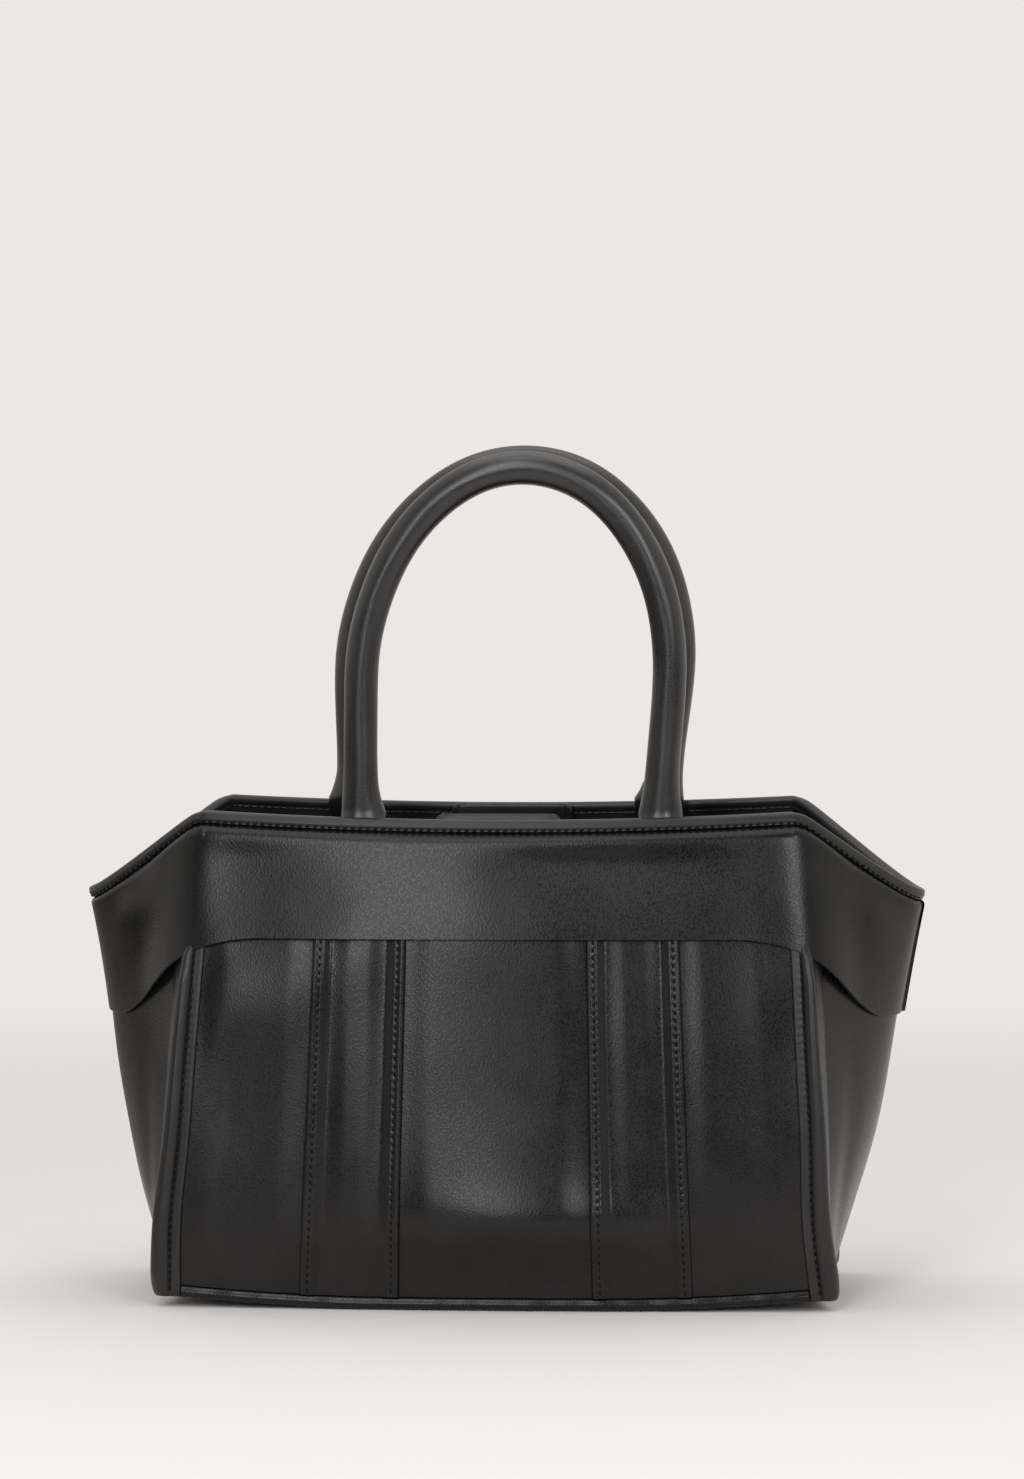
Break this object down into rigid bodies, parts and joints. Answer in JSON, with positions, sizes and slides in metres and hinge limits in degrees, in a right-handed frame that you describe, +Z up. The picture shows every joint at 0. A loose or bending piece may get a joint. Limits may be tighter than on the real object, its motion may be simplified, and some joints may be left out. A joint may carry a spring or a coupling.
{
  "type": "handbag",
  "caption": "Structured black handbag with rolled top handles, a deep collar with pointed wings, panelled walls and an open lined mouth.",
  "frame": {"origin": "on the table under the middle of the base", "axes": "+X to the right as seen from the front, -Y out of the front, +Z up"},
  "size_m": [0.3436, 0.1402, 0.3476],
  "materials": {
    "panel_leather": "fine pebbled grain, satin",
    "collar_leather": "fine pebbled grain, satin",
    "trim_leather": "smooth satin",
    "handle_leather": "fine grain, soft shine",
    "lining_cloth": "plain weave, matte",
    "base_board": "matte",
    "handle_filling": "twisted cotton cord",
    "snap_steel": "satin plate"
  },
  "bodies": {
    "bag": {"back_centre_panel": "panel_leather", "back_handle_tab_left": "handle_leather", "back_handle_tab_right": "handle_leather", "back_side_panel_left": "panel_leather", "back_side_panel_right": "panel_leather", "back_strip_left": "panel_leather", "back_strip_right": "panel_leather", "base_board": "base_board", "base_panel": "panel_leather", "base_trim_back": "trim_leather", "base_trim_front": "trim_leather", "collar_back": "collar_leather", "collar_front": "collar_leather", "corner_trim_back_left": "trim_leather", "corner_trim_back_right": "trim_leather", "corner_trim_front_left": "trim_leather", "corner_trim_front_right": "trim_leather", "facing_back": "trim_leather", "facing_front": "trim_leather", "front_centre_panel": "panel_leather", "front_handle_tab_left": "handle_leather", "front_handle_tab_right": "handle_leather", "front_side_panel_left": "panel_leather", "front_side_panel_right": "panel_leather", "front_strip_left": "panel_leather", "front_strip_right": "panel_leather", "gusset_left": "panel_leather", "gusset_right": "panel_leather", "lining": "lining_cloth", "rim_trim_back": "trim_leather", "rim_trim_front": "trim_leather"},
    "front_handle": {"front_handle_cover": "handle_leather", "front_handle_core": "handle_filling"},
    "back_handle": {"back_handle_cover": "handle_leather", "back_handle_core": "handle_filling"},
    "front_closure": {"front_closure_tab": "trim_leather", "snap_socket": "snap_steel"},
    "back_closure": {"back_closure_tab": "trim_leather", "snap_stud": "snap_steel"}
  },
  "joints": [
    {"name": "front_handle_tilt", "type": "hinge", "parent": "bag", "child": "front_handle", "pos_m": [0.0043, -0.04525, 0.19826], "axis": [1, 0, 0], "range_deg": [-16, 90]},
    {"name": "back_handle_tilt", "type": "hinge", "parent": "bag", "child": "back_handle", "pos_m": [-0.0011, 0.04474, 0.20079], "axis": [-1, 0, 0], "range_deg": [-16, 90]},
    {"name": "front_closure_swing", "type": "hinge", "parent": "bag", "child": "front_closure", "pos_m": [0, -0.04758, 0.19637], "axis": [1, 0, 0], "range_deg": [0, 60]},
    {"name": "back_closure_swing", "type": "hinge", "parent": "bag", "child": "back_closure", "pos_m": [0, 0.04713, 0.19666], "axis": [-1, 0, 0], "range_deg": [0, 60]}
  ]
}
